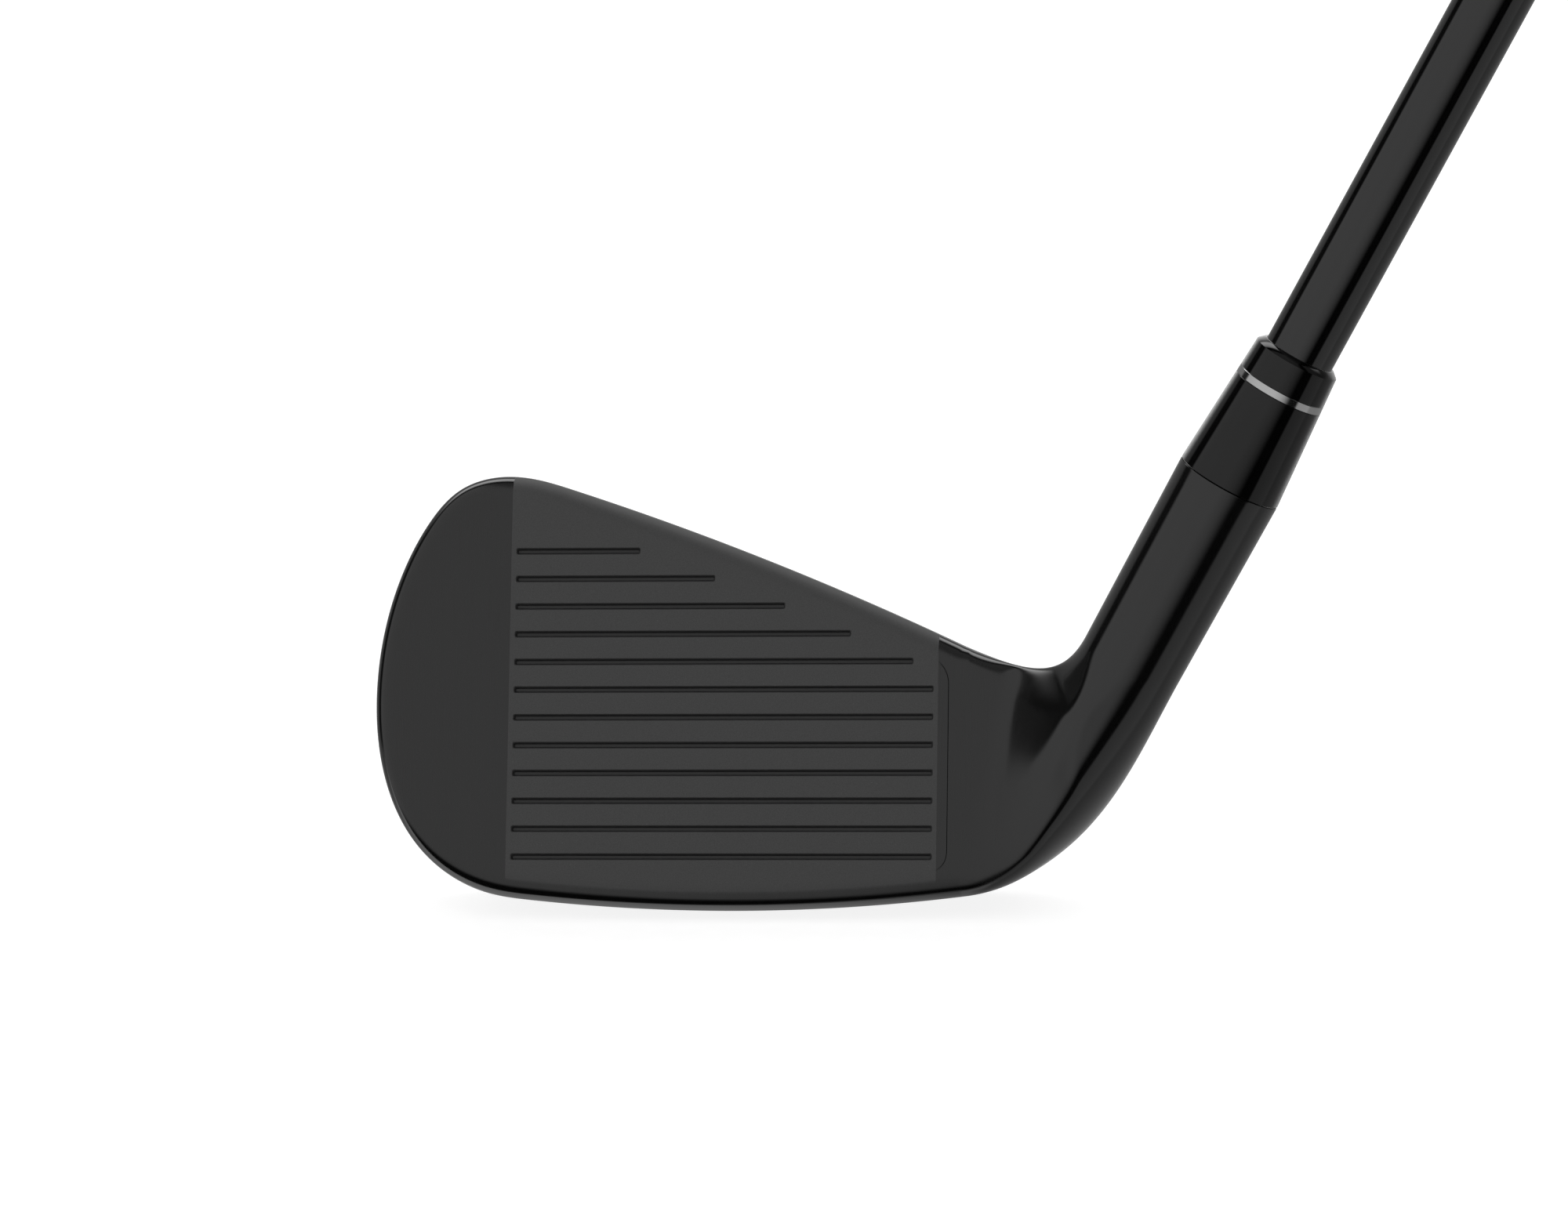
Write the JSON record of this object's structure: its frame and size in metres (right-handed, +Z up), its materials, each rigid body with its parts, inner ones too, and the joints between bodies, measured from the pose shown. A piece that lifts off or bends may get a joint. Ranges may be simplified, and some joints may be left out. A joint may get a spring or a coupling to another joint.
{
  "type": "iron golf club",
  "caption": "Right-handed utility iron: hollow steel head with a grooved welded face, hosel, ferrule, tapered black shaft and rubber grip.",
  "frame": {"origin": "centre of the flat strike face, midway between the sixth and seventh scorelines", "axes": "+X from toe to heel, +Y from the strike face to the back, +Z up; the club stands at address with its scorelines level, its face leaning back 20 degrees and its shaft leaning 61 degrees from the ground"},
  "size_m": [0.575, 0.0346, 0.8782],
  "materials": {
    "black_steel": "satin black coating over brushed steel, glossier at the hosel",
    "blasted_black_steel": "matte black, bead blasted",
    "tungsten": "sintered",
    "foam": "matte foam",
    "screw_steel": "satin black",
    "epoxy": "cured epoxy",
    "shaft_black": "gloss black lacquer over carbon fibre",
    "brass": "turned",
    "ferrule_plastic": "polished black",
    "ring_metal": "bright silver",
    "tape": "matte",
    "grip_rubber": "matte black textured rubber"
  },
  "bodies": {
    "root": {"head_body": "black_steel", "face_insert": "blasted_black_steel", "toe_weight": "tungsten", "foam_core": "foam", "fill_port_screw": "screw_steel", "hosel_adhesive": "epoxy", "shaft": "shaft_black", "tip_weight": "brass", "ferrule": "ferrule_plastic", "ferrule_ring": "ring_metal", "grip_tape": "tape", "grip_sleeve": "grip_rubber", "grip_cap": "grip_rubber"}
  },
  "joints": []
}
